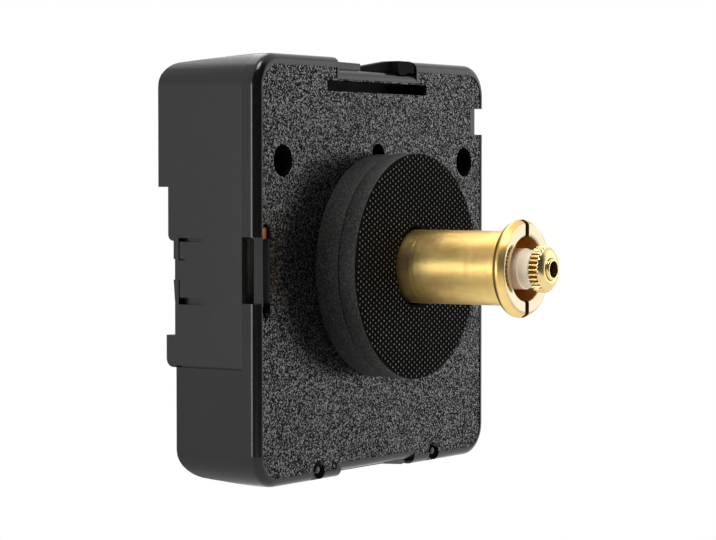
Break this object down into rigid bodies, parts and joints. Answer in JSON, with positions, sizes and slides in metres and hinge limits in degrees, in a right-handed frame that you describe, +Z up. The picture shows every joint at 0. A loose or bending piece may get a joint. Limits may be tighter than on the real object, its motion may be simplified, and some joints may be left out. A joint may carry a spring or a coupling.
{
  "type": "quartz clock movement",
  "caption": "Square black quartz clock movement with rubber washers, a long brass centre fixing, geared hand shafts and a rear battery bay.",
  "frame": {"origin": "on the hand shaft axis at the front face of the case", "axes": "+Y into the case, towards its back; +Z up; the hand shafts point along -Y"},
  "size_m": [0.056, 0.0433, 0.056],
  "materials": {
    "case_plastic": "glossy rim, fine grain on the face",
    "cover_plastic": "satin moulded",
    "rubber": "matte, knurled front",
    "brass": "turned, lightly tarnished",
    "plate_plastic": "moulded",
    "gear_plastic": "moulded",
    "white_plastic": "smooth",
    "steel": "plated",
    "iron": "stamped",
    "copper": "bare copper",
    "magnet": "sintered",
    "board": "coated",
    "chip_resin": "cast resin",
    "ceramic": "fired"
  },
  "bodies": {
    "case": {"front_case": "case_plastic", "rear_cover": "cover_plastic", "centre_bush": "brass", "inner_washer": "rubber", "outer_washer": "rubber", "middle_plate": "plate_plastic", "train_bridge": "plate_plastic", "plate_screws": "steel", "bridge_screws": "steel", "circuit_board": "board", "driver_chip": "chip_resin", "quartz_crystal": "steel", "capacitor": "ceramic", "coil_bobbin": "gear_plastic", "coil_winding": "copper", "coil_core": "iron", "stator": "iron", "positive_contact": "steel", "negative_contact": "copper"},
    "fixing_nut": {"sleeve_nut": "brass"},
    "rotor": {"rotor_magnet": "magnet", "rotor_arbor": "gear_plastic"},
    "intermediate": {"intermediate_wheel": "gear_plastic"},
    "seconds": {"seconds_wheel": "gear_plastic", "seconds_arbor": "steel"},
    "third": {"third_wheel": "gear_plastic"},
    "centre": {"centre_wheel": "gear_plastic"},
    "minute": {"minute_arbor": "brass", "clutch_spring": "brass"},
    "minute_nut": {"hand_nut": "brass"},
    "motion": {"motion_wheel": "gear_plastic"},
    "hour": {"hour_wheel": "white_plastic"},
    "setting": {"setting_arbor": "gear_plastic", "setting_knob": "white_plastic"}
  },
  "joints": [
    {"name": "sleeve_nut_travel", "type": "slide", "parent": "case", "child": "fixing_nut", "axis": [0, -1, 0], "range_m": [0, 0.012]},
    {"name": "hand_nut_lift", "type": "slide", "parent": "minute", "child": "minute_nut", "axis": [0, -1, 0], "range_m": [0, 0.005]},
    {"name": "rotor_spin", "type": "hinge", "parent": "case", "child": "rotor", "pos_m": [-0.00428, 0.0099, 0.01016], "axis": [0, 1, 0], "continuous": true},
    {"name": "intermediate_spin", "type": "hinge", "parent": "case", "child": "intermediate", "pos_m": [0.00179, 0.0099, 0.00666], "axis": [0, 1, 0], "continuous": true},
    {"name": "seconds_spin", "type": "hinge", "parent": "case", "child": "seconds", "pos_m": [0, 0.0108, 0], "axis": [0, 1, 0], "continuous": true},
    {"name": "third_spin", "type": "hinge", "parent": "case", "child": "third", "pos_m": [-0.0068, 0.0092, 0], "axis": [0, 1, 0], "continuous": true},
    {"name": "centre_spin", "type": "hinge", "parent": "case", "child": "centre", "pos_m": [0, 0.0074, 0], "axis": [0, 1, 0], "continuous": true},
    {"name": "minute_spin", "type": "hinge", "parent": "case", "child": "minute", "pos_m": [0, 0, 0], "axis": [0, 1, 0], "continuous": true},
    {"name": "motion_spin", "type": "hinge", "parent": "case", "child": "motion", "pos_m": [0.0065, 0.0044, -0.00375], "axis": [0, 1, 0], "continuous": true},
    {"name": "hour_spin", "type": "hinge", "parent": "case", "child": "hour", "pos_m": [0, 0.003, 0], "axis": [0, 1, 0], "continuous": true},
    {"name": "setting_spin", "type": "hinge", "parent": "case", "child": "setting", "pos_m": [0.01388, 0.009, -0.00505], "axis": [0, 1, 0], "continuous": true}
  ],
  "couplings": [
    {"joint": "intermediate_spin", "follows": "rotor_spin", "ratio": -0.16667},
    {"joint": "seconds_spin", "follows": "rotor_spin", "ratio": 0.033333},
    {"joint": "third_spin", "follows": "rotor_spin", "ratio": -0.0044444},
    {"joint": "centre_spin", "follows": "rotor_spin", "ratio": 0.00055556},
    {"joint": "motion_spin", "follows": "minute_spin", "ratio": -0.33333},
    {"joint": "hour_spin", "follows": "minute_spin", "ratio": 0.083333},
    {"joint": "setting_spin", "follows": "minute_spin", "ratio": 1}
  ]
}
